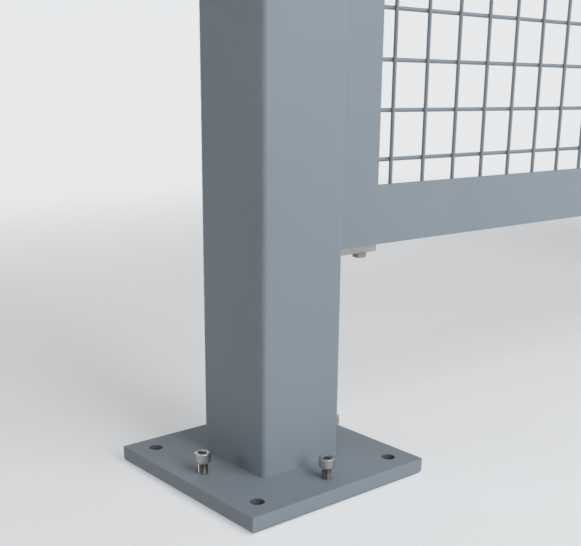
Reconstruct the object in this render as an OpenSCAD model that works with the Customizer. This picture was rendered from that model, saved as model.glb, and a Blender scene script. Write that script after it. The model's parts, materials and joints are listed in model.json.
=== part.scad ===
// Wire mesh guard: two square posts on base plates, with one framed mesh panel bolted between them.
// Millimetres, +Z up. X runs along the panel and -Y is the front. The origin is on the floor,
// midway between the posts.

/* [Posts] */
// Width of the square post tube
post_w = 100; // [80:5:130]
// Wall of the post tube
post_wall = 3; // [2:0.25:3.5]
// Outer corner radius of the post tube
post_corner_r = 4.5; // [4.5:0.5:8]
// Height of the post above its upper bracket
post_over = 31; // [22:1:80]

/* [Post caps] */
// Thickness of the cap's head on the tube's end
cap_t = 4; // [3:0.5:6]
// Chamfer round the cap's top edge
cap_chamfer = 1.5; // [0.5:0.5:2.5]
// Depth of the plug inside the tube
cap_plug_h = 16; // [10:1:16]
// Wall of the plug
cap_plug_wall = 3; // [2:0.5:4]
// Space between the plug's wall and the tube
cap_clear = 1.2; // [0.6:0.1:1.8]
// Space left outside the grip ribs round the plug
cap_rib_clear = 0.1; // [0.05:0.05:0.3]
// Thickness of one grip rib
cap_rib_t = 1.2; // [0.8:0.1:2]
// Number of grip ribs
cap_ribs = 3; // [1:1:3]

/* [Base plates] */
// Width of the square base plate
plate_w = 225; // [210:5:300]
// Thickness of the base plate
plate_t = 18; // [12:1:30]
// Radius along the plate's lower edges
plate_round = 6; // [1:0.5:8]
// From the plate's edges to an anchor hole's axis
anchor_inset = 25; // [20:1:32]
// Diameter of an anchor hole
anchor_d = 14; // [11:1:18]

/* [Levelling screws] */
// From the plate's edge to a screw's axis
jack_inset = 25; // [18:1:28]
// Thread diameter of a levelling screw
jack_d = 10; // [8:1:12]
// Diameter of its head
jack_head_d = 16; // [14:0.5:18]
// Height of its head
jack_head_h = 10; // [8:0.5:12]
// Bare shank between plate and head
jack_stand = 12; // [8:0.5:20]
// Hexagon socket, across its flats
jack_socket_af = 8; // [6:1:10]
// Depth of the hexagon socket
jack_socket_depth = 5; // [3:0.5:6]
// Height of the screw's tip above the floor
jack_tip_lift = 0.5; // [0:0.1:2]
// Space round the shank in its hole
jack_fit = 0.05; // [0.02:0.01:0.1]

/* [Panel frame] */
// From the base plate's top up to the panel
panel_lift = 213; // [100:1:400]
// Space between the panel and each post
side_gap = 10; // [3:1:15]
// From the posts' front face back to the panel's front face
panel_setback = 25; // [10:0.5:30]
// Width of the frame angle's front face
frame_face = 62; // [56:1:80]
// Depth of the frame angle's outer leg
frame_depth = 32; // [30:1:50]
// Thickness of the frame angle
frame_t = 5; // [3:0.5:6]
// Radius in the angle's root
frame_root_r = 4; // [2:0.5:6]
// Radius on the toes of the angle
frame_toe_r = 2; // [1:0.5:2.5]

/* [Mesh] */
// Diameter of a mesh wire
wire_d = 4; // [3:0.5:6]
// Distance from wire to wire
mesh_pitch = 50; // [40:5:70]
// Vertical wires seen inside the frame
columns = 24; // [10:1:30]
// Horizontal wires seen inside the frame
rows = 31; // [10:1:36]
// Length of a wire beyond its last weld
wire_overhang = 8; // [4:1:10]
// Depth that a spot weld sinks one piece into the other
weld_sink = 0.2; // [0.1:0.05:0.4]

/* [Brackets] */
// Width of the bracket's flat bar
bracket_w = 25; // [20:1:30]
// Thickness of the bracket's flat bar
bracket_t = 8; // [5:0.5:10]
// Inner radius of the bracket's bend
bracket_bend_r = 4; // [2:0.5:6]
// Reach of the bracket past the stile's inner edge
bracket_over = 5; // [2:1:15]
// Length of the bracket's leg along the post
bracket_leg = 64; // [60:1:80]
// From the bracket's end to the panel bolt's axis
panel_bolt_end = 12.5; // [12:0.5:18]
// From the leg's end to the first post bolt's axis
post_bolt_end = 12; // [10:1:14]
// Distance between the two post bolts
post_bolt_pitch = 24; // [20:1:26]

/* [Bolts] */
// Thread diameter of a bolt
bolt_d = 8; // [6:1:8]
// Hexagon of a bolt's head and of a nut, across the flats
bolt_af = 13; // [12:0.5:15]
// Height of a bolt's head
bolt_head_h = 5.3; // [4:0.1:7]
// Space round a bolt in its clearance hole
bolt_clear = 0.5; // [0.2:0.1:1]
// Length of a panel bolt beyond its nut
panel_bolt_tail = 2.3; // [1:0.1:6]
// Length of a post bolt beyond the tapped plate
post_bolt_tail = 4.4; // [1:0.1:6]
// Outer diameter of a washer
washer_d = 16; // [15.5:0.5:18]
// Thickness of a washer
washer_t = 1.6; // [1:0.1:2.5]
// Height of a nut
nut_h = 6.5; // [5:0.5:8]
// Space round a bolt in a washer
washer_clear = 0.2; // [0.1:0.1:0.5]
// Space round a bolt in a nut or a tapped hole
thread_clear = 0.05; // [0.02:0.01:0.1]
// Thickness of the tapped plate inside the post
nut_plate_t = 8; // [6:0.5:12]
// From the tapped plate's ends to its holes
nut_plate_end = 10; // [8:1:10]

/* [Hidden] */
$fn = 64;
// How far a cutting shape runs past the face that it cuts
cut = 1;
// Share of a plate's thickness that a rounded edge may take
round_share = 0.45;
// Chamfer on a screw's end and head, as a share of its thread
screw_chamfer = 0.1;

inner_w = columns * mesh_pitch;
inner_h = rows * mesh_pitch;
panel_w = inner_w + 2 * frame_face;
panel_h = inner_h + 2 * frame_face;
panel_z0 = plate_t + panel_lift;
panel_z1 = panel_z0 + panel_h;
panel_y0 = -post_w / 2 + panel_setback;
// Inner side face of each post, and the posts' axes
face_x = panel_w / 2 + side_gap;
post_x = face_x + post_w / 2;
guard_h = panel_z1 + bracket_leg + post_over;
tube_top = guard_h - cap_t;
tube_in = post_w - 2 * post_wall;
tube_in_r = post_corner_r - post_wall;

anchor_at = plate_w / 2 - anchor_inset;
jack_at = plate_w / 2 - jack_inset;
jack_l = plate_t + jack_stand - jack_tip_lift;

wire_reach = mesh_pitch / 2 + wire_overhang;
upright_y = panel_y0 + frame_t + wire_d / 2 - weld_sink;
level_y = upright_y + wire_d - weld_sink;

bracket_reach = side_gap + frame_face + bracket_over;
bolt_hole_d = bolt_d + 2 * bolt_clear;
panel_bolt_x = bracket_reach - panel_bolt_end;
// The washer lies beside the root radius of the rail
bolt_y = panel_y0 + frame_t + frame_root_r + washer_d / 2;
post_bolt_z = [for (i = [0, 1]) bracket_leg - post_bolt_end - i * post_bolt_pitch];
panel_bolt_l = washer_t + bracket_t + frame_t + washer_t + nut_h + panel_bolt_tail;
post_bolt_l = washer_t + bracket_t + post_wall + nut_plate_t + post_bolt_tail;

paint = [0.56, 0.60, 0.64];
zinc = [0.74, 0.74, 0.75];
steel = [0.62, 0.62, 0.63];
plastic = [0.13, 0.14, 0.15];

// Square with round corners, centred
module rounded_square(w, r) {
    square([w, w - 2 * r], center = true);
    square([w - 2 * r, w], center = true);
    for (x = [-1, 1], y = [-1, 1])
        translate([x * (w / 2 - r), y * (w / 2 - r)]) circle(r);
}

// Rectangle from the origin, with its far upper corner rounded
module toed_bar(w, h, r) {
    square([w, h - r]);
    square([w - r, h]);
    translate([w - r, h - r]) circle(r);
}

// Fillet in the corner of two legs
module root_fillet(r) {
    difference() {
        square(r);
        translate([r, r]) circle(r);
    }
}

// Solid along X whose section is drawn in YZ, centred on X
module along_x(length) {
    rotate([90, 0, 90]) linear_extrude(length, center = true) children();
}

// Solid along Y whose section is drawn in XZ, centred on Y
module along_y(length) {
    rotate([90, 0, 0]) linear_extrude(length, center = true) children();
}

// Puts a piece at the joint of a post and the panel: side -1 is left and 1 right, level -1 is the
// panel's lower edge and 1 its upper one. X runs from the post's face into the bay and Z from
// the panel's edge into the panel.
module at_joint(side, level) {
    translate([side * face_x, bolt_y, level < 0 ? panel_z0 : panel_z1])
        mirror([side < 0 ? 0 : 1, 0, 0])
            mirror([0, 0, level < 0 ? 0 : 1]) children();
}

module at_all_joints() {
    for (side = [-1, 1], level = [-1, 1]) at_joint(side, level) children();
}

// Places of the two post bolts along a bracket's leg, with Z turned to run into the post
module at_post_bolts(x) {
    for (z = post_bolt_z) translate([x, 0, -z]) rotate([0, -90, 0]) children();
}

// Section of the base plate: a bar with both lower edges rounded
module plate_section() {
    r = min(plate_round, plate_t * round_share);
    translate([-plate_w / 2, r]) square([plate_w, plate_t - r]);
    translate([-plate_w / 2 + r, 0]) square([plate_w - 2 * r, plate_t]);
    for (x = [-1, 1]) translate([x * (plate_w / 2 - r), r]) circle(r);
}

module base_plate(side) {
    color(paint) translate([side * post_x, 0, 0]) difference() {
        intersection() {
            along_x(plate_w + 2 * cut) plate_section();
            along_y(plate_w + 2 * cut) plate_section();
        }
        for (x = [-1, 1], y = [-1, 1])
            translate([x * anchor_at, y * anchor_at, -cut]) cylinder(d = anchor_d, h = plate_t + 2 * cut);
        for (a = [0:90:270]) rotate([0, 0, a]) translate([jack_at, 0, -cut])
            cylinder(r = jack_d / 2 + jack_fit, h = plate_t + 2 * cut);
    }
}

module post(side) {
    color(paint) difference() {
        translate([side * post_x, 0, plate_t]) linear_extrude(tube_top - plate_t) difference() {
            rounded_square(post_w, post_corner_r);
            rounded_square(tube_in, tube_in_r);
        }
        for (level = [-1, 1]) at_joint(side, level) at_post_bolts(cut)
            cylinder(d = bolt_hole_d, h = post_wall + 2 * cut);
    }
}

// Push-in cap: a chamfered head, a hollow plug and thin ribs that grip the tube
module post_cap(side) {
    plug_w = tube_in - 2 * cap_clear;
    rib_w = tube_in - 2 * cap_rib_clear;
    rib_step = cap_plug_h / (cap_ribs + 1);
    color(plastic) translate([side * post_x, 0, tube_top]) {
        intersection() {
            linear_extrude(cap_t) rounded_square(post_w, post_corner_r);
            along_x(post_w + 2 * cut) cap_section();
            along_y(post_w + 2 * cut) cap_section();
        }
        translate([0, 0, -cap_plug_h]) difference() {
            union() {
                linear_extrude(cap_plug_h) rounded_square(plug_w, tube_in_r - cap_clear / 2);
                for (i = [1:cap_ribs]) translate([0, 0, i * rib_step - cap_rib_t / 2])
                    linear_extrude(cap_rib_t) rounded_square(rib_w, tube_in_r);
            }
            translate([0, 0, -cut]) linear_extrude(cap_plug_h + cut)
                square(plug_w - 2 * cap_plug_wall, center = true);
        }
    }
}

// Section of the cap's head, chamfered along the top
module cap_section() {
    half = post_w / 2;
    polygon([[-half, -cut], [half, -cut], [half, cap_t - cap_chamfer], [half - cap_chamfer, cap_t],
             [cap_chamfer - half, cap_t], [-half, cap_t - cap_chamfer]]);
}

// Socket-head screw through the base plate, on the side of the plate at angle a
module levelling_screw(side, a) {
    r = jack_d / 2;
    edge = jack_d * screw_chamfer;
    color(steel) translate([side * post_x, 0, 0]) rotate([0, 0, a]) translate([jack_at, 0, jack_tip_lift])
        difference() {
            rotate_extrude() polygon([
                [0, 0], [r - edge, 0], [r, edge], [r, jack_l], [jack_head_d / 2, jack_l],
                [jack_head_d / 2, jack_l + jack_head_h - edge],
                [jack_head_d / 2 - edge, jack_l + jack_head_h], [0, jack_l + jack_head_h]
            ]);
            translate([0, 0, jack_l + jack_head_h - jack_socket_depth])
                cylinder(d = jack_socket_af / cos(30), h = jack_socket_depth + cut, $fn = 6);
        }
}

// Section of the frame's angle: front face along Z, outer leg along Y
module angle_section() {
    toed_bar(frame_t, frame_face, frame_toe_r);
    toed_bar(frame_depth, frame_t, frame_toe_r);
    translate([frame_t, frame_t]) root_fillet(frame_root_r);
}

// One mitred side of the frame, outer edge at z = 0 and front face at y = 0
module frame_bar(length) {
    outer = length / 2 + cut;
    inner = length / 2 - frame_face - cut;
    intersection() {
        along_x(length + 2 * cut) angle_section();
        translate([0, frame_depth / 2, 0]) along_y(frame_depth + 2 * cut)
            polygon([[-outer, -cut], [outer, -cut], [inner, frame_face + cut], [-inner, frame_face + cut]]);
    }
}

module rail(level) {
    color(paint) difference() {
        translate([0, panel_y0, level < 0 ? panel_z0 : panel_z1])
            mirror([0, 0, level < 0 ? 0 : 1]) frame_bar(panel_w);
        for (side = [-1, 1]) at_joint(side, level) translate([panel_bolt_x, 0, -cut])
            cylinder(d = bolt_hole_d, h = frame_t + 2 * cut);
    }
}

module stile(side) {
    color(paint) translate([side * panel_w / 2, panel_y0, (panel_z0 + panel_z1) / 2])
        rotate([0, -side * 90, 0]) frame_bar(panel_h);
}

// Wires on the pitch, with one more behind each side of the frame
module vertical_wires() {
    color(paint) for (i = [-1:columns])
        translate([(i + 0.5) * mesh_pitch - inner_w / 2, upright_y, panel_z0 + frame_face - wire_reach])
            cylinder(d = wire_d, h = inner_h + 2 * wire_reach);
}

module horizontal_wires() {
    color(paint) for (i = [-1:rows])
        translate([0, level_y, panel_z0 + frame_face + (i + 0.5) * mesh_pitch]) rotate([0, 90, 0])
            cylinder(d = wire_d, h = inner_w + 2 * wire_reach, center = true);
}

// Section of the bent bar: one leg along +X, the other along -Z, outer corner at the origin
module bracket_section() {
    outer_r = bracket_t + bracket_bend_r;
    translate([outer_r, -bracket_t]) square([bracket_reach - outer_r, bracket_t]);
    translate([0, -bracket_leg]) square([bracket_t, bracket_leg - outer_r]);
    intersection() {
        translate([0, -outer_r]) square(outer_r);
        translate([outer_r, -outer_r]) difference() {
            circle(outer_r);
            circle(bracket_bend_r);
        }
    }
}

module bracket(side, level) {
    color(zinc) at_joint(side, level) difference() {
        along_y(bracket_w) bracket_section();
        translate([panel_bolt_x, 0, -bracket_t - cut]) cylinder(d = bolt_hole_d, h = bracket_t + 2 * cut);
        at_post_bolts(bracket_t + cut) cylinder(d = bolt_hole_d, h = bracket_t + 2 * cut);
    }
}

// Tapped plate against the inside of the post, behind a bracket
module nut_plate(side, level) {
    length = post_bolt_pitch + 2 * nut_plate_end;
    color(steel) at_joint(side, level) difference() {
        translate([-post_wall - nut_plate_t, -bracket_w / 2, nut_plate_end - post_bolt_z[1] - length])
            cube([nut_plate_t, bracket_w, length]);
        at_post_bolts(cut - post_wall)
            cylinder(r = bolt_d / 2 + thread_clear, h = nut_plate_t + 2 * cut);
    }
}

// Hexagon with its upper or lower corners turned off, standing on z = 0
module hexagon_head(h) {
    corner_r = bolt_af / 2 / cos(30);
    bevel = corner_r - bolt_af / 2;
    intersection() {
        rotate([0, 0, 30]) cylinder(r = corner_r, h = h, $fn = 6);
        rotate_extrude() polygon([[0, 0], [bolt_af / 2, 0], [corner_r, bevel / 2], [corner_r, h + cut], [0, h + cut]]);
    }
}

// Bolt along +Z, with its head below z = 0
module bolt(length) {
    r = bolt_d / 2;
    edge = bolt_d * screw_chamfer;
    translate([0, 0, -bolt_head_h]) hexagon_head(bolt_head_h);
    rotate_extrude() polygon([[0, -cut], [r, -cut], [r, length - edge], [r - edge, length], [0, length]]);
}

module washer() {
    linear_extrude(washer_t) difference() {
        circle(d = washer_d);
        circle(r = bolt_d / 2 + washer_clear);
    }
}

module nut() {
    difference() {
        translate([0, 0, nut_h]) mirror([0, 0, 1]) hexagon_head(nut_h);
        translate([0, 0, -cut]) cylinder(r = bolt_d / 2 + thread_clear, h = nut_h + 2 * cut);
    }
}

module post_bolts() {
    color(zinc) at_all_joints() at_post_bolts(bracket_t + washer_t) bolt(post_bolt_l);
}

module post_bolt_washers() {
    color(zinc) at_all_joints() at_post_bolts(bracket_t + washer_t) washer();
}

module panel_bolts() {
    color(zinc) at_all_joints() translate([panel_bolt_x, 0, -bracket_t - washer_t]) bolt(panel_bolt_l);
}

// One washer under each bolt's head and one under its nut
module panel_bolt_washers() {
    color(zinc) at_all_joints() for (z = [-bracket_t - washer_t, frame_t])
        translate([panel_bolt_x, 0, z]) washer();
}

module panel_nuts() {
    color(zinc) at_all_joints() translate([panel_bolt_x, 0, frame_t + washer_t]) nut();
}

base_plate(-1);  // left_base_plate
base_plate(1);  // right_base_plate
post(-1);  // left_post
post(1);  // right_post
post_cap(-1);  // left_post_cap
post_cap(1);  // right_post_cap
levelling_screw(-1, 270);  // left_front_levelling_screw
levelling_screw(-1, 90);  // left_rear_levelling_screw
levelling_screw(-1, 180);  // left_outer_levelling_screw
levelling_screw(-1, 0);  // left_inner_levelling_screw
levelling_screw(1, 270);  // right_front_levelling_screw
levelling_screw(1, 90);  // right_rear_levelling_screw
levelling_screw(1, 0);  // right_outer_levelling_screw
levelling_screw(1, 180);  // right_inner_levelling_screw
rail(-1);  // bottom_rail
rail(1);  // top_rail
stile(-1);  // left_stile
stile(1);  // right_stile
vertical_wires();
horizontal_wires();
bracket(-1, -1);  // lower_left_bracket
bracket(1, -1);  // lower_right_bracket
bracket(-1, 1);  // upper_left_bracket
bracket(1, 1);  // upper_right_bracket
nut_plate(-1, -1);  // lower_left_nut_plate
nut_plate(1, -1);  // lower_right_nut_plate
nut_plate(-1, 1);  // upper_left_nut_plate
nut_plate(1, 1);  // upper_right_nut_plate
post_bolts();
post_bolt_washers();
panel_bolts();
panel_bolt_washers();
panel_nuts();
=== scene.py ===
"""Looks of the wire mesh guard: two square posts on base plates with a framed mesh panel between them.

Metres, +Z up. X runs along the panel and -Y is the front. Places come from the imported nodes' boxes, and
only what a box can't tell, such as a thread's pitch, is a named size here.
"""

import json
import math

import bmesh
import bpy
from mathutils import Matrix, Vector


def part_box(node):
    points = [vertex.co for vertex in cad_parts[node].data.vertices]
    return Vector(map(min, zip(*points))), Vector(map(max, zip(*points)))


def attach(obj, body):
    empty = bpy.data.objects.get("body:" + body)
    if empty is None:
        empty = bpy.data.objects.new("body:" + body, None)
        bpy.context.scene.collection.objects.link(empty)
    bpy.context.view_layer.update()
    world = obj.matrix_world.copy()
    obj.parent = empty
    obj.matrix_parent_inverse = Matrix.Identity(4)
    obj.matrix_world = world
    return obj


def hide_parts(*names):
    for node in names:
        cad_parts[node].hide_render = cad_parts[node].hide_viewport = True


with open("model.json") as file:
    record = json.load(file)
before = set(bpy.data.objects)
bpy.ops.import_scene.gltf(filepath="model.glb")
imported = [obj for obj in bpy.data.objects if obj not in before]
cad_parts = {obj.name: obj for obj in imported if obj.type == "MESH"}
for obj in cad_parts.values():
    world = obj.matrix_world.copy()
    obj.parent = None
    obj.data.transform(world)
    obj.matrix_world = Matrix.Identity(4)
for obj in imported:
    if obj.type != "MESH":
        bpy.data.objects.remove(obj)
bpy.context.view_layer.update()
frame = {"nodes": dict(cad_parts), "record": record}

MM = 0.001
BODY = "guard"
SIDES = ("left", "right")
LEVELS = ("lower", "upper")


def middle(node):
    """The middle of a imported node's box."""
    low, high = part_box(node)
    return (low + high) / 2


# Node trees

class Tree:
    """Adds nodes to a node tree. A value that is a socket is linked, and any other is set."""

    def __init__(self, node_tree):
        self.tree = node_tree

    def add(self, kind, inputs=(), **settings):
        node = self.tree.nodes.new(kind)
        for name, value in settings.items():
            setattr(node, name, value)
        for key, value in dict(inputs).items():
            self.feed(node.inputs[key], value)
        return node

    def feed(self, socket, value):
        if isinstance(value, bpy.types.NodeSocket):
            self.tree.links.new(value, socket)
        else:
            socket.default_value = value

    def math(self, operation, *values, clamp=False):
        node = self.add("ShaderNodeMath", dict(enumerate(values)), operation=operation, use_clamp=clamp)
        return node.outputs[0]

    def scaled(self, vector, factor):
        return self.add("ShaderNodeVectorMath", {0: vector, "Scale": factor}, operation="SCALE").outputs[0]

    def split(self, vector):
        return self.add("ShaderNodeSeparateXYZ", {"Vector": vector}).outputs

    def joined(self, x, y, z):
        return self.add("ShaderNodeCombineXYZ", {"X": x, "Y": y, "Z": z}).outputs[0]

    def triangle_wave(self, value):
        """0 at whole numbers and 1 halfway between them."""
        sawtooth = self.math("MULTIPLY_ADD", self.math("FRACT", value), 2.0, -1.0)
        return self.math("SUBTRACT", 1.0, self.math("ABSOLUTE", sawtooth))

    def attribute(self, name, kind):
        node = self.add("GeometryNodeInputNamedAttribute", {"Name": name}, data_type=kind)
        return node.outputs["Attribute"]

    def on_points(self, mesh, piece, **placing):
        """Real copies of a piece, one on each point of a mesh."""
        points = self.add("GeometryNodeMeshToPoints", {"Mesh": mesh}).outputs[0]
        inputs = {"Points": points, "Instance": piece, **placing}
        copies = self.add("GeometryNodeInstanceOnPoints", inputs).outputs[0]
        return self.add("GeometryNodeRealizeInstances", {"Geometry": copies}).outputs[0]

    def finished(self, geometry, material):
        return self.add("GeometryNodeSetMaterial", {"Geometry": geometry, "Material": material}).outputs[0]


def geometry_tree(name, **inputs):
    """A geometry node tree with named inputs: its helper, its inputs' sockets and its output's socket."""
    tree = bpy.data.node_groups.new(name, "GeometryNodeTree")
    for label, kind in inputs.items():
        tree.interface.new_socket(name=label, in_out="INPUT", socket_type="NodeSocket" + kind)
    tree.interface.new_socket(name="Geometry", in_out="OUTPUT", socket_type="NodeSocketGeometry")
    t = Tree(tree)
    return t, t.add("NodeGroupInput").outputs, t.add("NodeGroupOutput").inputs[0]


def linked(name, data):
    """A new object in the scene, at the origin."""
    item = bpy.data.objects.new(name, data)
    bpy.context.scene.collection.objects.link(item)
    return item


def settled(seed):
    """Turns an object with modifiers into a plain mesh object of the same name."""
    bpy.context.view_layer.update()
    graph = bpy.context.evaluated_depsgraph_get()
    mesh = bpy.data.meshes.new_from_object(seed.evaluated_get(graph), preserve_all_data_layers=True,
                                           depsgraph=graph)
    name = seed.name
    bpy.data.objects.remove(seed)
    mesh.name = name
    return linked(name, mesh)


def grown(name, tree, start, **values):
    """The mesh that a geometry node tree makes from the mesh start, as a new plain object."""
    seed = linked(name, start)
    modifier = seed.modifiers.new("grow", "NODES")
    modifier.node_group = tree
    for item in tree.interface.items_tree:
        if item.in_out == "INPUT" and item.name.lower() in values:
            modifier[item.identifier] = values[item.name.lower()]
    return settled(seed)


def smooth(mesh, angle):
    """Shades a mesh smooth, apart from edges that turn by more than the angle in degrees."""
    mesh.shade_smooth()
    mesh.set_sharp_from_angle(angle=math.radians(angle))


# Finishes: colours are linear, and a noise's scale is per metre

WHOLE = (0.0, 1.0)
NOISE_BAND = (0.3, 0.7)

# The underside of the levelling screws' heads at rest, below which their threads get painted shade
HEAD_LEVEL = 30 * MM
HEAD_FADE = 1 * MM

# The anchor holes' distance from the post's axis each way, their radius, and where the painted shade on
# their walls fades out
ANCHOR_OFFSET = 87.5 * MM
ANCHOR_R = 7 * MM
ANCHOR_FADE = (0.05 * MM, 0.6 * MM)


class Finish(Tree):
    """A material whose patterns follow the object's own coordinates."""

    def __init__(self, name, **values):
        self.material = bpy.data.materials.new(name)
        self.material.use_nodes = True
        super().__init__(self.material.node_tree)
        self.shader = self.tree.nodes["Principled BSDF"]
        for socket, value in values.items():
            self.shader.inputs[socket].default_value = value
        self.place = self.add("ShaderNodeTexCoord").outputs["Object"]

    def noise(self, scale, detail=2.0, roughness=0.5):
        """Noise of one scale, or of one for each axis where the pattern is drawn out."""
        place = self.place
        if isinstance(scale, tuple):
            place = self.add("ShaderNodeMapping", {"Vector": place, "Scale": scale}).outputs[0]
            scale = 1.0
        inputs = {"Vector": place, "Scale": scale, "Detail": detail, "Roughness": roughness}
        return self.add("ShaderNodeTexNoise", inputs).outputs["Fac"]

    def ramp(self, value, before, after=WHOLE):
        """value from the range before, turned into the range after."""
        inputs = {"Value": value, "From Min": before[0], "From Max": before[1],
                  "To Min": after[0], "To Max": after[1]}
        return self.add("ShaderNodeMapRange", inputs).outputs["Result"]

    def mixed(self, factor, first, second):
        mix = self.add("ShaderNodeMix", {"Factor": factor}, data_type="RGBA")
        self.feed(mix.inputs["A"], first)
        self.feed(mix.inputs["B"], second)
        return mix.outputs["Result"]

    def raised(self, height, depth, strength):
        inputs = {"Height": height, "Distance": depth, "Strength": strength}
        return self.add("ShaderNodeBump", inputs).outputs["Normal"]

    def surface(self, colour, roughness, normal):
        self.feed(self.shader.inputs["Base Color"], colour)
        self.feed(self.shader.inputs["Roughness"], roughness)
        self.feed(self.shader.inputs["Normal"], normal)
        return self.material


def in_anchor_holes(f):
    """1 on the walls of the plates' anchor holes, where shade is painted, and 0 elsewhere."""
    post_x = -middle("left_base_plate").x
    x, y, z = f.split(f.place)
    from_post = f.math("ABSOLUTE", f.math("SUBTRACT", f.math("ABSOLUTE", x), post_x))
    along = f.math("SUBTRACT", from_post, ANCHOR_OFFSET)
    across = f.math("SUBTRACT", f.math("ABSOLUTE", y), ANCHOR_OFFSET)
    off_axis = f.math("SQRT", f.math("MULTIPLY_ADD", along, along, f.math("MULTIPLY", across, across)))
    wall, rim = (ANCHOR_R + step for step in ANCHOR_FADE)
    return f.ramp(off_axis, (wall, rim), (1.0, 0.0))


def powder_coat():
    """Satin paint: slow clouds in its colour, an uneven gloss, a fine peel, and painted shade in the anchor
    holes.
    """
    shades = (0.300, 0.352, 0.398, 1), (0.321, 0.375, 0.423, 1)
    painted_hole_shade = (0.165, 0.185, 0.20, 1)
    gloss = (0.52, 0.57)
    peel_depth = 0.12 * MM
    f = Finish("powder_coat", IOR=1.38)
    cloud = f.noise(scale=5.0, detail=3.0)
    film = f.noise(scale=60.0)
    peel = f.noise(scale=420.0)
    coat = f.mixed(f.ramp(cloud, NOISE_BAND), *shades)
    # Painted shade: the anchor holes' walls take a darker colour than the rest of the paint
    colour = f.mixed(in_anchor_holes(f), coat, painted_hole_shade)
    return f.surface(colour, f.ramp(film, NOISE_BAND, gloss), f.raised(peel, peel_depth, strength=0.8))


def zinc_plate():
    """Zinc plating: small clouds in its colour and gloss, and a grain drawn out along the bars."""
    shades = (0.31, 0.307, 0.304, 1), (0.40, 0.395, 0.388, 1)
    gloss, grain_gloss = (0.38, 0.48), (0.0, 0.08)
    grain_depth = 0.02 * MM
    f = Finish("zinc_plate", Metallic=1.0)
    cloud = f.noise(scale=160.0, detail=4.0, roughness=0.6)
    grain = f.noise(scale=(60.0, 900.0, 60.0), detail=3.0)
    colour = f.mixed(f.ramp(cloud, NOISE_BAND), *shades)
    roughness = f.math("ADD", f.ramp(cloud, NOISE_BAND, gloss), f.ramp(grain, NOISE_BAND, grain_gloss))
    return f.surface(colour, roughness, f.raised(grain, grain_depth, strength=0.4))


def turned_steel():
    """Steel with fine rings: bright heads over threads darkened by painted shade, from HEAD_LEVEL down."""
    head_shades = (0.46, 0.45, 0.44, 1), (0.38, 0.37, 0.362, 1)
    thread_painted_shades = (0.20, 0.196, 0.192, 1), (0.14, 0.137, 0.134, 1)
    stain_band, ring_band = (0.35, 0.7), (0.25, 0.75)
    gloss = (0.30, 0.40)
    ring_depth = 0.01 * MM
    f = Finish("turned_steel", Metallic=1.0)
    rings = f.noise(scale=(40.0, 40.0, 4200.0))
    stain = f.ramp(f.noise(scale=220.0, detail=3.0), stain_band)
    on_head = f.ramp(f.split(f.place)[2], (HEAD_LEVEL - HEAD_FADE, HEAD_LEVEL))
    # Painted shade: below HEAD_LEVEL the threads take much darker colours than the heads
    colour = f.mixed(on_head, f.mixed(stain, *thread_painted_shades), f.mixed(stain, *head_shades))
    return f.surface(colour, f.ramp(rings, ring_band, gloss), f.raised(rings, ring_depth, strength=0.3))


def cap_plastic():
    """Matte black plastic with a moulded grain."""
    shades = (0.020, 0.021, 0.023, 1), (0.032, 0.033, 0.035, 1)
    gloss = (0.50, 0.62)
    grain_depth = 0.05 * MM
    f = Finish("cap_plastic", IOR=1.46)
    grain = f.noise(scale=1400.0)
    cloud = f.noise(scale=40.0)
    roughness = f.ramp(cloud, NOISE_BAND, gloss)
    return f.surface(f.mixed(cloud, *shades), roughness, f.raised(grain, grain_depth, strength=0.6))


FINISHES = {"powder_coat": powder_coat(), "zinc_plate": zinc_plate(), "plain_steel": turned_steel(),
            "cap_plastic": cap_plastic()}
NODE_SLOT = {s["node"]: s["material_slot"] for s in frame["record"]["subparts"]}


def dress(piece, slot, body, *nodes):
    """Gives a finished piece its one material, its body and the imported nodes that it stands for."""
    piece.data.materials.clear()
    piece.data.materials.append(FINISHES[slot])
    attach(piece, body)
    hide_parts(*nodes)


def dress_bare_nodes():
    """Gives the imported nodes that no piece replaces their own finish."""
    for node, packed in frame["nodes"].items():
        if not packed.hide_render:
            packed.data.materials.clear()
            packed.data.materials.append(FINISHES[NODE_SLOT[node]])


# Plates, tubes, angles and bars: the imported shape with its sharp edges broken

EDGE_ANGLE = 35
SAME_POINT = 0.001 * MM
SAME_FACE = math.radians(0.3)
NEAR = 0.01 * MM

# How wide each kind's edges are broken, and in how many steps
PLATE_EDGE = (0.8 * MM, 3)
TUBE_EDGE = (0.5 * MM, 2)
ANGLE_BAR_EDGE = (0.4 * MM, 2)
BRACKET_EDGE = (0.7 * MM, 3)
CAP_EDGE = (0.6 * MM, 3)


def nowhere(edge):
    return False


def on_mitre(edge):
    """An edge of the panel frame that lies in a corner's mitre plane."""
    low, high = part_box("bottom_rail")[0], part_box("top_rail")[1]
    centre = (low + high) / 2
    half = (high - low) / 2
    off = [abs((half.x - abs(v.co.x - centre.x)) - (half.z - abs(v.co.z - centre.z))) for v in edge.verts]
    return max(off) < NEAR


def on_plate(edge):
    """An edge of a post's foot on its base plate."""
    return max(v.co.z for v in edge.verts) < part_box("left_base_plate")[1].z + NEAR


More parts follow.
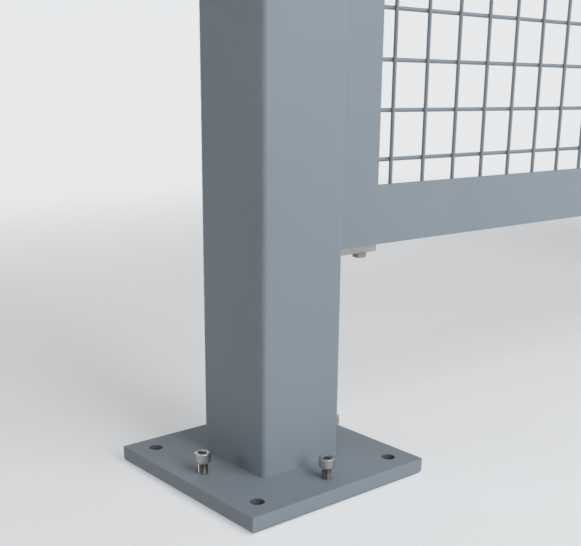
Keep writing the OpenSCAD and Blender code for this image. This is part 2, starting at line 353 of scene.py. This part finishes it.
def edge_broken(node, slot, broken, left_sharp=nowhere):
    """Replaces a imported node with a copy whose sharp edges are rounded, apart from those left sharp."""
    shape = bmesh.new()
    shape.from_mesh(frame["nodes"][node].data)
    bmesh.ops.remove_doubles(shape, verts=shape.verts, dist=SAME_POINT)
    bmesh.ops.dissolve_limit(shape, angle_limit=SAME_FACE, verts=shape.verts, edges=shape.edges)
    weight = shape.edges.layers.float.new("bevel_weight_edge")
    sharp = math.radians(EDGE_ANGLE)
    for edge in shape.edges:
        if len(edge.link_faces) == 2 and edge.calc_face_angle() > sharp and not left_sharp(edge):
            edge[weight] = 1.0
    mesh = bpy.data.meshes.new(node + "_body")
    shape.to_mesh(mesh)
    shape.free()
    smooth(mesh, EDGE_ANGLE)
    piece = linked(node + "_body", mesh)
    rounding = piece.modifiers.new("round", "BEVEL")
    rounding.limit_method = "WEIGHT"
    rounding.width, rounding.segments = broken
    rounding.use_clamp_overlap = True
    facing = piece.modifiers.new("face", "WEIGHTED_NORMAL")
    facing.keep_sharp = True
    dress(settled(piece), slot, BODY, node)


def painted_metalwork():
    for side in SIDES:
        edge_broken(f"{side}_base_plate", "powder_coat", PLATE_EDGE)
        edge_broken(f"{side}_post", "powder_coat", TUBE_EDGE, on_plate)
        edge_broken(f"{side}_stile", "powder_coat", ANGLE_BAR_EDGE, on_mitre)
    for rail in ("bottom_rail", "top_rail"):
        edge_broken(rail, "powder_coat", ANGLE_BAR_EDGE, on_mitre)


def brackets_and_caps():
    for side in SIDES:
        for level in LEVELS:
            edge_broken(f"{level}_{side}_bracket", "zinc_plate", BRACKET_EDGE)
        edge_broken(f"{side}_post_cap", "cap_plastic", CAP_EDGE)


# Turned pieces: screws, nuts and washers

HALF_SIXTH = math.pi / 6
SEAM_WITHIN = 0.002 * MM
TURNED_ANGLE = 40
NO_FLATS = 1.0

# Outline points in one pitch of thread, in a round and in a bevel
THREAD_STEPS = 8
ROUND_STEPS = 5
BEVEL_STEPS = 5

# A hexagon's end: its round face as a part of the width across flats, and the rise of the bevel round it
HEX_FACE = 0.93
BEVEL_SLOPE = 0.58


def across_corners(flats):
    """Half a hexagon's width across its corners, from half its width across flats."""
    return flats / math.cos(HALF_SIXTH)


def turned_tree():
    """Turns a profile round Z. Each of its points says its radius and height, how much of the thread it
    takes, and half the width across flats, if any, that limits its radius."""
    t, given, out = geometry_tree("Turned piece", Profile="Geometry", Around="Int", Pitch="Float",
                                  Depth="Float")
    profile = given["Profile"]
    stations = t.add("GeometryNodeAttributeDomainSize", {"Geometry": profile}).outputs["Point Count"]
    sheet = t.add("GeometryNodeMeshGrid", {"Size X": 1.0, "Size Y": 1.0, "Vertices Y": stations,
                                           "Vertices X": t.math("ADD", given["Around"], 1.0)}).outputs
    across, along = t.split(sheet["UV Map"])[0:2]
    index = t.math("ROUND", t.math("MULTIPLY", along, t.math("SUBTRACT", stations, 1.0)))

    def told(name):
        inputs = {"Geometry": profile, "Value": t.attribute(name, "FLOAT"), "Index": index}
        return t.add("GeometryNodeSampleIndex", inputs, data_type="FLOAT").outputs["Value"]

    angle = t.math("MULTIPLY", across, math.tau)
    height = told("height")
    thread = t.triangle_wave(t.math("SUBTRACT", t.math("DIVIDE", height, given["Pitch"]), across))
    cut = t.math("MULTIPLY", t.math("MULTIPLY", thread, told("threaded")), given["Depth"])
    from_flat = t.math("WRAP", angle, -HALF_SIXTH, HALF_SIXTH)
    hexagon = t.math("DIVIDE", told("flats"), t.math("COSINE", from_flat))
    radius = t.math("MINIMUM", t.math("SUBTRACT", told("radius"), cut), hexagon)
    place = t.joined(t.math("MULTIPLY", radius, t.math("COSINE", angle)),
                     t.math("MULTIPLY", radius, t.math("SINE", angle)), height)
    turned = t.add("GeometryNodeSetPosition", {"Geometry": sheet["Mesh"], "Position": place}).outputs[0]
    closed = t.add("GeometryNodeMergeByDistance", {"Geometry": turned, "Distance": SEAM_WITHIN}).outputs[0]
    t.feed(out, closed)
    return t.tree


def set_out_tree():
    """Puts a copy of a piece on each point, turned by the point's angles."""
    t, given, out = geometry_tree("Set out", Points="Geometry", Piece="Object", Finish="Material")
    turned = t.add("FunctionNodeEulerToRotation", {0: t.attribute("turn", "FLOAT_VECTOR")}).outputs[0]
    piece = t.add("GeometryNodeObjectInfo", {"Object": given["Piece"]}).outputs["Geometry"]
    t.feed(out, t.finished(t.on_points(given["Points"], piece, Rotation=turned), given["Finish"]))
    return t.tree


class Profile:
    """The half outline of a turned piece, from the middle of its underside out and up to its top."""

    def __init__(self):
        self.points = []

    def to(self, radius, height, threaded=0.0, flats=NO_FLATS):
        self.points.append((radius, height, threaded, flats))
        return self

    def rounded(self, radius, height, bend):
        """A quarter round of radius bend that ends on the flat at height."""
        for i in range(ROUND_STEPS + 1):
            turn = math.radians(90 * i / ROUND_STEPS)
            self.to(radius - bend * (1 - math.cos(turn)), height - bend * (1 - math.sin(turn)))
        return self

    def bevelled(self, flats, height):
        """A hexagon's turned bevel, from the round face at height to where the corners are whole."""
        face = flats * HEX_FACE
        out = across_corners(flats) - face
        for i in range(BEVEL_STEPS + 1):
            part = i / BEVEL_STEPS
            self.to(face + out * part, height + out * part * BEVEL_SLOPE, flats=flats)
        return self

    def thread(self, radius, start, end, pitch):
        """A threaded length, with its thread running out over one pitch at each end."""
        steps = round((end - start) / pitch * THREAD_STEPS)
        for i in range(steps + 1):
            height = start + (end - start) * i / steps
            from_end = min(height - start, abs(end - height)) / pitch
            self.to(radius, height, threaded=min(1.0, from_end))
        return self

    def mesh(self, name):
        mesh = bpy.data.meshes.new(name)
        mesh.from_pydata([(radius, 0, height) for radius, height, threaded, flats in self.points], [], [])
        for i, label in enumerate(("radius", "height", "threaded", "flats")):
            values = mesh.attributes.new(label, "FLOAT", "POINT").data
            values.foreach_set("value", [point[i] for point in self.points])
        return mesh


TURNED = turned_tree()
SET_OUT = set_out_tree()


def turned_pieces(name, profile, around, pitch, depth, places, slot):
    """Copies of a turned piece on places, each a point and three angles, as one mesh."""
    outline = profile.mesh(name + "_profile")
    pattern = grown(name + "_pattern", TURNED, outline, around=around, pitch=pitch, depth=depth)
    smooth(pattern.data, TURNED_ANGLE)
    points = bpy.data.meshes.new(name + "_places")
    points.from_pydata([point for point, angles in places], [], [])
    turn = points.attributes.new("turn", "FLOAT_VECTOR", "POINT")
    turn.data.foreach_set("vector", [a for point, angles in places for a in angles])
    copies = grown(name + "_turned", SET_OUT, points, piece=pattern, finish=FINISHES[slot])
    bpy.data.objects.remove(pattern)
    smooth(copies.data, TURNED_ANGLE)
    return copies


# Levelling screws: M10 socket-head cap screws, each turned JACK_TURN further than the one before

JACK_PLACES = ("front", "rear", "outer", "inner")
JACK_D = 10 * MM
JACK_PITCH = 1.5 * MM
JACK_THREAD_DEPTH = 0.92 * MM
JACK_HEAD_H = 10 * MM
JACK_AROUND = 60
JACK_TURN = math.radians(23)
SEAT_GAP = 0.05 * MM
TIP_STEP = 0.3 * MM
TIP_CONE = 0.7 * MM
NECK_H = 0.8 * MM
NECK_OUT = 0.2 * MM
NECK_DOWN = 0.12 * MM
HEAD_ROUND = 0.8 * MM
HEAD_PLAIN = 1.4 * MM
SOCKET = 8 * MM
SOCKET_DEPTH = 5 * MM
SOCKET_LEAD = 0.6 * MM
SOCKET_FLOOR = 0.95
SOCKET_POINT = 1.2 * MM

# Steps of the outline: in from the head's side and up from its underside, and out from the socket's corner
# and down from the head's top
HEAD_FOOT = ((0.25 * MM, 0.2 * MM), (0.0, 0.9 * MM), (0.0, 1.5 * MM))
SOCKET_MOUTH = ((0.6 * MM, 0.0), (0.1 * MM, 0.35 * MM))


def jack_profile(head, length):
    """From the tip at height 0 up to the head's top, and down into its socket."""
    r = JACK_D / 2
    under = length + SEAT_GAP
    top = length + JACK_HEAD_H
    bottom = top - SOCKET_DEPTH
    flat = SOCKET / 2
    corner = across_corners(flat)
    p = Profile().to(0, 0).to(r - TIP_STEP - TIP_CONE, 0).to(r - TIP_STEP, TIP_CONE)
    p.thread(r, TIP_CONE, length - NECK_H, JACK_PITCH)
    p.to(r, length - NECK_DOWN).to(r + NECK_OUT, under).to(head - HEAD_ROUND, under)
    for inwards, up in HEAD_FOOT:
        p.to(head - inwards, length + up)
    p.to(head, top - HEAD_PLAIN).rounded(head, top, HEAD_ROUND)
    for outwards, down in SOCKET_MOUTH:
        p.to(corner + outwards, top - down)
    p.to(corner, top - SOCKET_LEAD, flats=flat).to(corner, bottom, flats=flat)
    return p.to(SOCKET_FLOOR * flat, bottom).to(0, bottom - SOCKET_POINT)


def levelling_screws():
    nodes = [f"{side}_{place}_levelling_screw" for side in SIDES for place in JACK_PLACES]
    for number, node in enumerate(nodes):
        low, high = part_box(node)
        axis = middle(node)
        profile = jack_profile((high.x - low.x) / 2, high.z - low.z - JACK_HEAD_H)
        places = [((axis.x, axis.y, low.z), (0, 0, JACK_TURN * number))]
        screw = turned_pieces(node, profile, JACK_AROUND, JACK_PITCH, JACK_THREAD_DEPTH, places,
                              "plain_steel")
        dress(screw, "plain_steel", node, node)


# Hexagon bolts, nuts and washers of the brackets: M8

BOLT_D = 8 * MM
BOLT_L = 25 * MM
BOLT_PITCH = 1.25 * MM
BOLT_THREAD_DEPTH = 0.76 * MM
BOLT_FLATS = 13 * MM / 2
BOLT_HEAD_H = 5.3 * MM
BOLT_AROUND = 36

# The washer face under the head, the neck, and the cone at the shank's end
BOLT_FACE = 0.92
BOLT_FACE_H = 0.4 * MM
BOLT_NECK = 0.3 * MM
BOLT_END_IN = 0.8 * MM
BOLT_END_H = 0.9 * MM

NUT_H = 6.5 * MM
NUT_MOUTH = 0.7 * MM
WASHER_T = 1.6 * MM
WASHER_R = 8 * MM
WASHER_BORE = 4.2 * MM
WASHER_EDGE = 0.2 * MM

# A bolt goes through washer, bracket and frame to its washer and nut, or through washer, bracket and the
# post's wall into a plate with a tapped hole TAPPED_END from each end
BRACKET_T = 8 * MM
FRAME_T = 5 * MM
TAPPED_END = 10 * MM
QUARTER = math.pi / 2


def bolt_profile(length):
    """From the head's outer face, below height 0, up to the shank's end."""
    r = BOLT_D / 2
    corner = across_corners(BOLT_FLATS)
    face = BOLT_FACE * BOLT_FLATS
    p = Profile().to(0, -BOLT_HEAD_H).bevelled(BOLT_FLATS, -BOLT_HEAD_H)
    p.to(corner, -BOLT_FACE_H, flats=BOLT_FLATS).to(face, -BOLT_FACE_H).to(face, 0)
    p.to(r + BOLT_NECK, 0).to(r, BOLT_NECK)
    p.thread(r, BOLT_NECK, length - BOLT_END_H, BOLT_PITCH)
    return p.to(r - BOLT_END_IN, length).to(0, length)


def nut_profile(height):
    """From the bore's lower end out and up, and down the bore again."""
    r = BOLT_D / 2
    wide = r + NUT_MOUTH
    p = Profile().to(wide, 0).bevelled(BOLT_FLATS, 0)
    for radius, rise, threaded, flats in reversed(p.points[1:]):
        p.to(radius, height - rise, flats=flats)
    return p.to(wide, height).to(r, height - NUT_MOUTH).to(r, NUT_MOUTH).to(wide, 0)


def washer_profile(outer, inner, height):
    """From the bore's lower end out, up and back down the bore."""
    edge = WASHER_EDGE
    p = Profile().to(inner, 0).to(outer - edge, 0).to(outer, edge).to(outer, height - edge)
    return p.to(outer - edge, height).to(inner + edge, height).to(inner, height - edge).to(inner, 0)


def panel_bolt_places(depth):
    """Places on the panel bolts' axes, depth in from the panel's lower and upper faces, with Z inwards."""
    low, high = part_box("panel_bolts")
    panel_low, panel_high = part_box("left_stile")
    y = middle("panel_bolts").y
    places = []
    for x in (low.x + BOLT_FLATS, high.x - BOLT_FLATS):
        places.append(((x, y, panel_low.z + depth), (0, 0, 0)))
        places.append(((x, y, panel_high.z - depth), (math.pi, 0, 0)))
    return places


def post_bolt_places(depth):
    """Places on the post bolts' axes, depth into the post from its face, with Z into the post."""
    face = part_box("left_post")[1].x
    y = middle("post_bolts").y
    places = []
    for level in LEVELS:
        low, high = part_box(f"{level}_left_nut_plate")
        for z in (low.z + TAPPED_END, high.z - TAPPED_END):
            places.append(((face - depth, y, z), (0, -QUARTER, 0)))
            places.append(((depth - face, y, z), (0, QUARTER, 0)))
    return places


def fasteners():
    under_head = -BRACKET_T - WASHER_T
    bolt, nut = bolt_profile(BOLT_L), nut_profile(NUT_H)
    washer = washer_profile(WASHER_R, WASHER_BORE, WASHER_T)
    pieces = {
        "panel_bolts": (bolt, panel_bolt_places(under_head)),
        "post_bolts": (bolt, post_bolt_places(under_head)),
        "panel_nuts": (nut, panel_bolt_places(FRAME_T + WASHER_T)),
        "panel_bolt_washers": (washer, panel_bolt_places(under_head) + panel_bolt_places(FRAME_T)),
        "post_bolt_washers": (washer, post_bolt_places(under_head))}
    for node, (profile, places) in pieces.items():
        copies = turned_pieces(node, profile, BOLT_AROUND, BOLT_PITCH, BOLT_THREAD_DEPTH, places,
                               "zinc_plate")
        dress(copies, "zinc_plate", BODY, node)


# Mesh of welded wires

WIRE_R = 2 * MM
WIRE_PITCH = 50 * MM
WIRE_SIDES = 12
WIRE_ANGLE = 50

# Weld beads: their radii, and the least and the most of them that a single weld has
BEAD_SIZE = (2.7 * MM, 0.9 * MM, 2.7 * MM)
BEAD_SPREAD = ((0.88, 0.9, 0.88), (1.06, 1.0, 1.06))
BEAD_SIDES = 8
BEAD_RINGS = 4
BEAD_SEED = 11


def wires_tree():
    """Parallel wires: one at First and the rest on steps of Step, each running Half to both sides."""
    t, given, out = geometry_tree("Wires", Seed="Geometry", Count="Int", First="Vector", Step="Vector",
                                  Half="Vector", Radius="Float", Finish="Material")
    row = t.add("GeometryNodeMeshLine", {"Count": given["Count"], "Start Location": given["First"],
                                         "Offset": given["Step"]}).outputs[0]
    run = t.add("GeometryNodeCurvePrimitiveLine", {"Start": t.scaled(given["Half"], -1.0),
                                                   "End": given["Half"]}).outputs[0]
    ring = t.add("GeometryNodeCurvePrimitiveCircle", {"Resolution": WIRE_SIDES,
                                                      "Radius": given["Radius"]}).outputs[0]
    wire = t.add("GeometryNodeCurveToMesh", {"Curve": run, "Profile Curve": ring,
                                             "Fill Caps": True}).outputs[0]
    t.feed(out, t.finished(t.on_points(row, wire), given["Finish"]))
    return t.tree


def beads_tree():
    """A flattened weld bead at each crossing of the wires, a little different from weld to weld."""
    t, given, out = geometry_tree("Weld beads", Seed="Geometry", Columns="Int", Rows="Int", First="Vector",
                                  Across="Vector", Up="Vector", Size="Vector", Finish="Material")
    column = t.add("GeometryNodeMeshLine", {"Count": given["Rows"], "Offset": given["Up"]}).outputs[0]
    row = t.add("GeometryNodeMeshLine", {"Count": given["Columns"], "Start Location": given["First"],
                                         "Offset": given["Across"]}).outputs[0]
    crossings = t.on_points(row, column)
    bead = t.add("GeometryNodeMeshUVSphere", {"Segments": BEAD_SIDES, "Rings": BEAD_RINGS,
                                              "Radius": 1.0}).outputs["Mesh"]
    spread = t.add("FunctionNodeRandomValue", {0: BEAD_SPREAD[0], 1: BEAD_SPREAD[1], "Seed": BEAD_SEED},
                   data_type="FLOAT_VECTOR").outputs[0]
    size = t.add("ShaderNodeVectorMath", {0: spread, 1: given["Size"]}, operation="MULTIPLY").outputs[0]
    t.feed(out, t.finished(t.on_points(crossings, bead, Scale=size), given["Finish"]))
    return t.tree


def mesh_panel():
    tree = wires_tree()
    low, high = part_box("vertical_wires")
    wide_low, wide_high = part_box("horizontal_wires")
    half = (high - low) / 2
    wide_half = (wide_high - wide_low) / 2
    columns = round(2 * (half.x - WIRE_R) / WIRE_PITCH) + 1
    rows = round(2 * (wide_half.z - WIRE_R) / WIRE_PITCH) + 1
    first_upright, first_level = middle("vertical_wires"), middle("horizontal_wires")
    first_upright.x = low.x + WIRE_R
    first_level.z = wide_low.z + WIRE_R
    groups = {
        "vertical_wires": (columns, first_upright, (WIRE_PITCH, 0, 0), (0, 0, half.z)),
        "horizontal_wires": (rows, first_level, (0, 0, WIRE_PITCH), (wide_half.x, 0, 0))}
    paint = FINISHES["powder_coat"]
    for node, (count, first, step, reach) in groups.items():
        wires = grown(node + "_drawn", tree, bpy.data.meshes.new(node), count=count, first=first, step=step,
                      half=reach, radius=WIRE_R, finish=paint)
        smooth(wires.data, WIRE_ANGLE)
        dress(wires, "powder_coat", BODY, node)
    contact = (wide_low.y + high.y) / 2
    welds = grown("mesh_welds", beads_tree(), bpy.data.meshes.new("welds"), columns=columns, rows=rows,
                  first=(first_upright.x, contact, first_level.z), across=(WIRE_PITCH, 0, 0),
                  up=(0, 0, WIRE_PITCH), size=BEAD_SIZE, finish=paint)
    welds.data.shade_smooth()
    dress(welds, "powder_coat", BODY)


# Floor and room: the camera and reflections see them pale, and they light the object plainly

PALE = (0.80, 0.81, 0.82, 1)
FULL = 1.0
ROOM_LIGHT = (0.97, 0.98, 1.0, 1)
ROOM_STRENGTH = 0.06
FLOOR_RADIUS = 14.0
FLOOR_SIDES = 96

# What the floor sends up to the object, and what it shows near it, with an even glow of FLOOR_LIFT
FLOOR_BOUNCE = (0.88, 0.88, 0.89, 1)
FLOOR_SHOWN = (0.58, 0.59, 0.60, 1)
FLOOR_LIFT = 0.50

# Half the length of a strip under the panel, and how far from it the shown floor turns into the pale room
SHADOW_STRIP = 0.8
SHADOW_FADE = (0.3, 2.8)


def seen_or_lighting(t, lighting, seen):
    """One shader for rays from the camera, reflections and transmission, and another for light."""
    path = t.add("ShaderNodeLightPath").outputs
    looked_at = t.math("ADD", path["Is Camera Ray"], path["Is Glossy Ray"])
    looked_at = t.math("ADD", looked_at, path["Is Transmission Ray"], clamp=True)
    return t.add("ShaderNodeMixShader", {0: looked_at, 1: lighting, 2: seen}).outputs[0]


def floor():
    """A floor with the object's shadow near it, that fades into the pale room further away."""
    mesh = bpy.data.meshes.new("floor")
    disc = bmesh.new()
    bmesh.ops.create_circle(disc, cap_ends=True, segments=FLOOR_SIDES, radius=FLOOR_RADIUS)
    disc.to_mesh(mesh)
    disc.free()
    material = bpy.data.materials.new("floor")
    material.use_nodes = True
    t = Tree(material.node_tree)
    t.tree.nodes.remove(t.tree.nodes["Principled BSDF"])
    bounce = t.add("ShaderNodeBsdfDiffuse", {"Color": FLOOR_BOUNCE}).outputs[0]
    shaded = t.add("ShaderNodeBsdfDiffuse", {"Color": FLOOR_SHOWN}).outputs[0]
    lift = t.add("ShaderNodeEmission", {"Color": PALE, "Strength": FLOOR_LIFT}).outputs[0]
    near = t.add("ShaderNodeAddShader", {0: shaded, 1: lift}).outputs[0]
    far = t.add("ShaderNodeEmission", {"Color": PALE, "Strength": FULL}).outputs[0]
    x, y, z = t.split(t.add("ShaderNodeTexCoord").outputs["Object"])
    past_strip = t.math("MAXIMUM", t.math("SUBTRACT", t.math("ABSOLUTE", x), SHADOW_STRIP), 0.0)
    from_strip = t.joined(past_strip, y, 0.0)
    away = t.add("ShaderNodeVectorMath", {0: from_strip}, operation="LENGTH").outputs["Value"]
    band = {"Value": away, "From Min": SHADOW_FADE[0], "From Max": SHADOW_FADE[1]}
    fade = t.add("ShaderNodeMapRange", band, interpolation_type="SMOOTHSTEP").outputs["Result"]
    shown = t.add("ShaderNodeMixShader", {0: fade, 1: near, 2: far}).outputs[0]
    t.feed(t.tree.nodes["Material Output"].inputs["Surface"], seen_or_lighting(t, bounce, shown))
    mesh.materials.append(material)
    linked("floor", mesh)


def room():
    world = bpy.data.worlds.new("room")
    bpy.context.scene.world = world
    world.use_nodes = True
    t = Tree(world.node_tree)
    light = t.tree.nodes["Background"]
    light.inputs["Color"].default_value = ROOM_LIGHT
    light.inputs["Strength"].default_value = ROOM_STRENGTH
    shown = t.add("ShaderNodeBackground", {"Color": PALE, "Strength": FULL}).outputs[0]
    t.feed(t.tree.nodes["World Output"].inputs["Surface"], seen_or_lighting(t, light.outputs[0], shown))


# Lamps: place, what they point at, width and height, and watts
LEFT_FOOT = (-0.7, 0.0, 0.12)
PANEL_FOOT = (0.0, 0.0, 0.4)
LAMPS = {
    "window": ((-0.87, -3.17, 1.81), LEFT_FOOT, (1.1, 2.4), 48),
    "high": ((0.06, -2.08, 2.96), LEFT_FOOT, (1.5, 1.5), 29),
    "key": ((3.62, -2.3, 0.46), LEFT_FOOT, (1.8, 0.8), 34),
    "top": ((-0.7, -0.37, 4.3), LEFT_FOOT, (2.2, 2.2), 11),
    "left": ((-3.86, 1.28, 0.91), LEFT_FOOT, (1.8, 1.0), 15),
    "rear": ((0.0, 4.4, 0.4), PANEL_FOOT, (2.4, 0.7), 44)}


def lamps():
    for name, (place, aim, size, watts) in LAMPS.items():
        light = bpy.data.lights.new(name, "AREA")
        light.shape = "RECTANGLE"
        light.size, light.size_y = size
        light.energy = watts
        lamp = linked(name, light)
        lamp.location = place
        lamp.rotation_euler = (Vector(aim) - Vector(place)).to_track_quat("-Z", "Y").to_euler()


# Camera, from the edges in the photograph: a frame 581 pixels wide whose optical axis meets row 360, which
# is 87 rows below the middle
FRAME_W = 581
FRAME_H = 546
FOCAL_PIXELS = 930.53
AXIS_ROW = 360.03
SENSOR = 36.0
NEAREST = 0.02
CAMERA_FROM_POST = Vector((-0.58168, -0.71337, 0.38976))
YAW, PITCH, ROLL = 0.70555, 0.28513, 0.01012


def camera():
    post_foot = middle("left_base_plate")
    post_foot.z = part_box("left_base_plate")[0].z
    lens = bpy.data.cameras.new("camera")
    lens.sensor_width = SENSOR
    lens.lens = SENSOR * FOCAL_PIXELS / FRAME_W
    lens.shift_y = (AXIS_ROW - FRAME_H / 2) / FRAME_W
    lens.clip_start = NEAREST
    view = linked("camera", lens)
    turn = (Matrix.Rotation(-YAW, 4, "Z") @ Matrix.Rotation(math.pi / 2 - PITCH, 4, "X")
            @ Matrix.Rotation(ROLL, 4, "Z"))
    view.matrix_world = Matrix.Translation(post_foot + CAMERA_FROM_POST) @ turn
    bpy.context.scene.camera = view


camera()
painted_metalwork()
brackets_and_caps()
mesh_panel()
fasteners()
levelling_screws()
dress_bare_nodes()
floor()
room()
lamps()
bpy.context.scene.view_settings.view_transform = "Standard"
